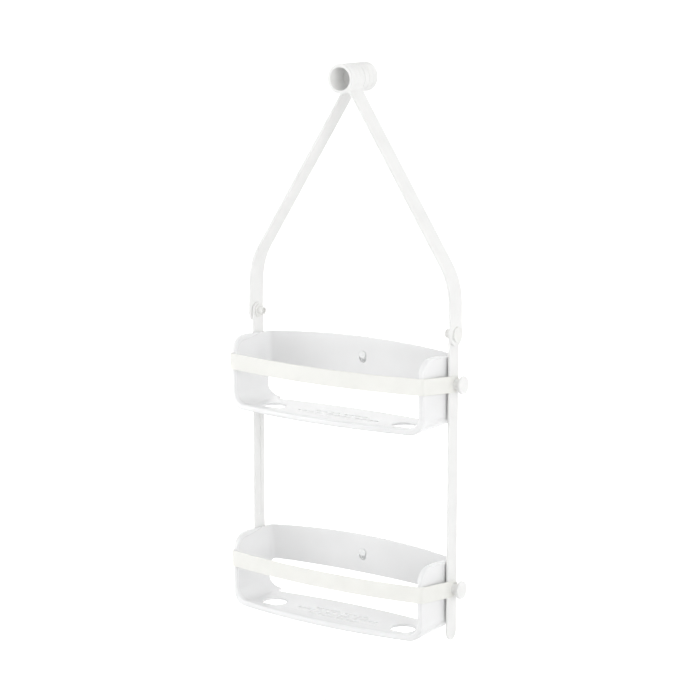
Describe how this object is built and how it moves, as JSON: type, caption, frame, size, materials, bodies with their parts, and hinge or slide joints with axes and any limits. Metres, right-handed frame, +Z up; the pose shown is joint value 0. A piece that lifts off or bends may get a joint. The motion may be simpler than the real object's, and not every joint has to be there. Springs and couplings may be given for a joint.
{
  "type": "shower caddy",
  "caption": "Hanging shower caddy: open-fronted trays on soft straps, hung from a shower arm by grip rings, with retaining bands, hook knobs and suction cups.",
  "frame": {"origin": "on the shower arm's axis, midway between the two grip rings", "axes": "+Z up, +Y towards the wall along the shower arm, +X to the user's right when facing the wall"},
  "size_m": [0.2748, 0.0982, 0.5974],
  "materials": {
    "strap": "matte",
    "tray": "satin",
    "knob": "matte",
    "button": "matte",
    "cup": "satin"
  },
  "bodies": {
    "hanger": {"right_hanger_strap": "strap", "left_hanger_strap": "strap"},
    "rack": {"right_upright_strap": "strap", "left_upright_strap": "strap", "right_button_cap": "button", "left_button_cap": "button", "right_button_socket": "button", "left_button_socket": "button", "upper_tray": "tray", "upper_front_band": "strap", "upper_right_knob": "knob", "upper_left_knob": "knob", "upper_suction_cup": "cup", "lower_tray": "tray", "lower_front_band": "strap", "lower_right_knob": "knob", "lower_left_knob": "knob", "lower_suction_cup": "cup"}
  },
  "joints": [
    {"name": "rack_swing", "type": "hinge", "parent": "hanger", "child": "rack", "pos_m": [0, 0, -0.25599], "axis": [1, 0, 0], "range_deg": [-90, 90]}
  ]
}
